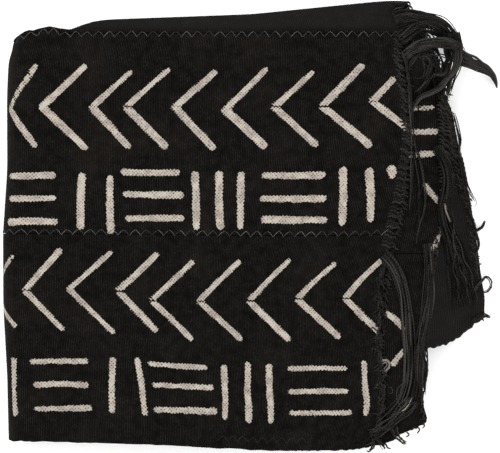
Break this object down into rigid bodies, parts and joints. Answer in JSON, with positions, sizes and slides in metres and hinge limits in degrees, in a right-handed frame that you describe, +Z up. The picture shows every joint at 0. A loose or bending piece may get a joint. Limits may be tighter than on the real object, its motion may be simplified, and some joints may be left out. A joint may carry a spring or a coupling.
{
  "type": "folded bogolan mud cloth",
  "caption": "Heavy dark cotton cloth of hand-woven strips with pale painted marks, folded into a soft square packet with loose warp ends at one side.",
  "frame": {"origin": "middle of the packet, loose ends included, on the surface that it rests on", "axes": "+X along the strips towards the frayed upper end, +Y across the strips, +Z up out of the dyed face on top"},
  "size_m": [0.3556, 0.3168, 0.0373],
  "materials": {
    "mud_dyed_cotton": "matte hand-woven cotton, dyed near black, with cream marks",
    "loose_warp_cotton": "matte loose cotton yarn, dyed near black"
  },
  "bodies": {
    "root": {"strip_1": "mud_dyed_cotton", "strip_2": "mud_dyed_cotton", "strip_3": "mud_dyed_cotton", "strip_4": "mud_dyed_cotton", "strip_5": "mud_dyed_cotton", "strip_6": "mud_dyed_cotton", "strip_7": "mud_dyed_cotton", "strip_8": "mud_dyed_cotton", "warp_ends_a": "loose_warp_cotton", "warp_ends_b": "loose_warp_cotton", "warp_ends_c": "loose_warp_cotton", "warp_ends_d": "loose_warp_cotton", "inner_ends_a": "loose_warp_cotton", "inner_ends_b": "loose_warp_cotton", "inner_ends_c": "loose_warp_cotton", "inner_ends_d": "loose_warp_cotton"}
  },
  "joints": []
}
